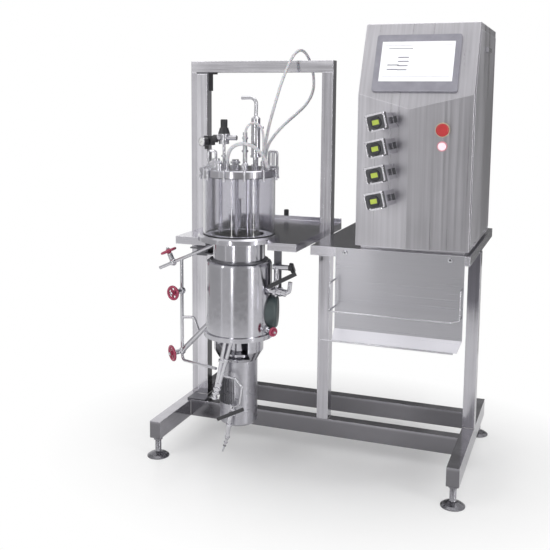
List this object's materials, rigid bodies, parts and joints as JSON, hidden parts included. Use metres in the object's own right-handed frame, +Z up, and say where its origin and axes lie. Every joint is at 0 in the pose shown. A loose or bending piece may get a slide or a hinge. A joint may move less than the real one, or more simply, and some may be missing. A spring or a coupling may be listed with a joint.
{
  "type": "bench bioreactor",
  "caption": "Bench bioreactor on a tubular steel stand: jacketed vessel with a glass upper wall, lid fittings, valves and bottom drive, control cabinet with screen and tube pumps, bottle rack.",
  "frame": {"origin": "on the floor, under the middle of the machine's bounding box", "axes": "+Z up, +X to the right seen from the front, +Y to the back"},
  "size_m": [1.092, 0.7318, 1.472],
  "materials": {
    "frame_steel": "polished",
    "sheet_steel": "satin",
    "vessel_steel": "mirror polished",
    "fitting_steel": "polished",
    "bracket_grey": "satin",
    "motor_grey": "satin",
    "pump_silver": "satin",
    "dark_plastic": "matte",
    "bezel_grey": "satin",
    "screen_white": "gloss",
    "red_plastic": "gloss",
    "ring_yellow": "satin",
    "lamp_white": "gloss",
    "glass": "clear",
    "seal_rubber": "matte",
    "cover_green": "satin",
    "silicone": "translucent"
  },
  "bodies": {
    "stand": {"base_frame": "frame_steel", "bearers": "frame_steel", "bottom_pipes": "fitting_steel", "button_rings": "ring_yellow", "cabinet_shell": "sheet_steel", "column_brackets": "bracket_grey", "condenser": "vessel_steel", "dip_pipes": "vessel_steel", "feed_hose": "silicone", "gauge": "dark_plastic", "glass_seals": "seal_rubber", "glass_wall": "glass", "inner_vessel": "vessel_steel", "jacket": "vessel_steel", "lantern": "vessel_steel", "left_pipes": "fitting_steel", "left_upright": "frame_steel", "legs": "frame_steel", "levelling_feet": "frame_steel", "lid": "vessel_steel", "lid_handles": "fitting_steel", "lid_ports": "vessel_steel", "loop_hose": "silicone", "manifold": "fitting_steel", "mid_flange": "vessel_steel", "motor": "motor_grey", "pump_bodies": "pump_silver", "pump_heads": "dark_plastic", "rack_panel": "sheet_steel", "rack_wires": "sheet_steel", "regulator_body": "fitting_steel", "right_upright": "frame_steel", "rim_clips": "vessel_steel", "screen_bezel": "bezel_grey", "screen_glass": "screen_white", "side_cover": "cover_green", "top_bar": "frame_steel", "tray": "sheet_steel", "tray_bumper": "seal_rubber", "vent_hose": "silicone", "vessel_column": "frame_steel", "worktop": "sheet_steel"},
    "handwheel_1": {"handwheel_1": "red_plastic"},
    "handwheel_2": {"handwheel_2": "red_plastic"},
    "handwheel_3": {"handwheel_3": "red_plastic"},
    "handwheel_4": {"handwheel_4": "red_plastic"},
    "ball_valve_lever": {"ball_valve_lever": "dark_plastic"},
    "manifold_lever": {"manifold_lever": "dark_plastic"},
    "wing_knob": {"wing_knob": "dark_plastic"},
    "regulator_knob": {"regulator_knob": "dark_plastic"},
    "rotor_1": {"rotor_1": "dark_plastic"},
    "rotor_2": {"rotor_2": "dark_plastic"},
    "rotor_3": {"rotor_3": "dark_plastic"},
    "rotor_4": {"rotor_4": "dark_plastic"},
    "side_door": {"side_door": "sheet_steel"},
    "door_latch": {"door_latch": "dark_plastic"},
    "stop_button": {"stop_button": "red_plastic"},
    "lit_button": {"lit_button": "lamp_white"},
    "agitator": {"agitator_shaft": "vessel_steel", "impellers": "vessel_steel"}
  },
  "joints": [
    {"name": "inlet_wheel_turn", "type": "hinge", "parent": "stand", "child": "handwheel_1", "pos_m": [-0.50777, -0.22207, 0.70826], "axis": [-0.4231, 0, 0.9061], "range_deg": [0, 1080]},
    {"name": "riser_wheel_turn", "type": "hinge", "parent": "stand", "child": "handwheel_2", "pos_m": [-0.46848, -0.26661, 0.572], "axis": [-0.2496, -0.9684, 0], "range_deg": [0, 1080]},
    {"name": "steam_wheel_turn", "type": "hinge", "parent": "stand", "child": "handwheel_3", "pos_m": [-0.4809, -0.25136, 0.35315], "axis": [-0.6289, -0.7709, -0.1014], "range_deg": [0, 1080]},
    {"name": "jacket_wheel_turn", "type": "hinge", "parent": "stand", "child": "handwheel_4", "pos_m": [-0.1012, -0.26567, 0.473], "axis": [0.8, -0.6, 0], "range_deg": [0, 1080]},
    {"name": "outlet_lever_turn", "type": "hinge", "parent": "stand", "child": "ball_valve_lever", "pos_m": [-0.222, -0.33707, 0.2], "axis": [0, 1, 0], "range_deg": [0, 90]},
    {"name": "manifold_lever_turn", "type": "hinge", "parent": "stand", "child": "manifold_lever", "pos_m": [-0.105, -0.24307, 0.63], "axis": [0, 1, 0], "range_deg": [0, 90]},
    {"name": "wing_knob_turn", "type": "hinge", "parent": "stand", "child": "wing_knob", "pos_m": [-0.0645, -0.21807, 0.682], "axis": [1, 0, 0], "range_deg": [0, 90]},
    {"name": "regulator_knob_turn", "type": "hinge", "parent": "stand", "child": "regulator_knob", "pos_m": [-0.3, -0.21607, 1.119], "axis": [0, 0, 1], "range_deg": [0, 1080]},
    {"name": "rotor_1_spin", "type": "hinge", "parent": "stand", "child": "rotor_1", "pos_m": [0.25295, -0.34502, 1.169], "axis": [-0.1151, -0.9934, 0], "continuous": true},
    {"name": "rotor_2_spin", "type": "hinge", "parent": "stand", "child": "rotor_2", "pos_m": [0.25295, -0.34502, 1.091], "axis": [-0.1151, -0.9934, 0], "continuous": true},
    {"name": "rotor_3_spin", "type": "hinge", "parent": "stand", "child": "rotor_3", "pos_m": [0.25295, -0.34502, 1.013], "axis": [-0.1151, -0.9934, 0], "continuous": true},
    {"name": "rotor_4_spin", "type": "hinge", "parent": "stand", "child": "rotor_4", "pos_m": [0.25295, -0.34502, 0.935], "axis": [-0.1151, -0.9934, 0], "continuous": true},
    {"name": "agitator_spin", "type": "hinge", "parent": "stand", "child": "agitator", "pos_m": [-0.242, -0.22207, 0.358], "axis": [0, 0, 1], "continuous": true},
    {"name": "side_door_tilt", "type": "hinge", "parent": "stand", "child": "side_door", "pos_m": [0.5218, 0.00893, 0.7885], "axis": [0, 1, 0], "range_deg": [0, 25]},
    {"name": "door_latch_turn", "type": "hinge", "parent": "side_door", "child": "door_latch", "pos_m": [0.518, 0.01693, 1.396], "axis": [1, 0, 0], "range_deg": [0, 90]},
    {"name": "stop_button_press", "type": "slide", "parent": "stand", "child": "stop_button", "axis": [-0.0995, 0.995, 0], "range_m": [0, 0.005]},
    {"name": "lit_button_press", "type": "slide", "parent": "stand", "child": "lit_button", "axis": [-0.0995, 0.995, 0], "range_m": [0, 0.003], "stiffness_N_per_m": 400, "springref_m": -0.002}
  ]
}
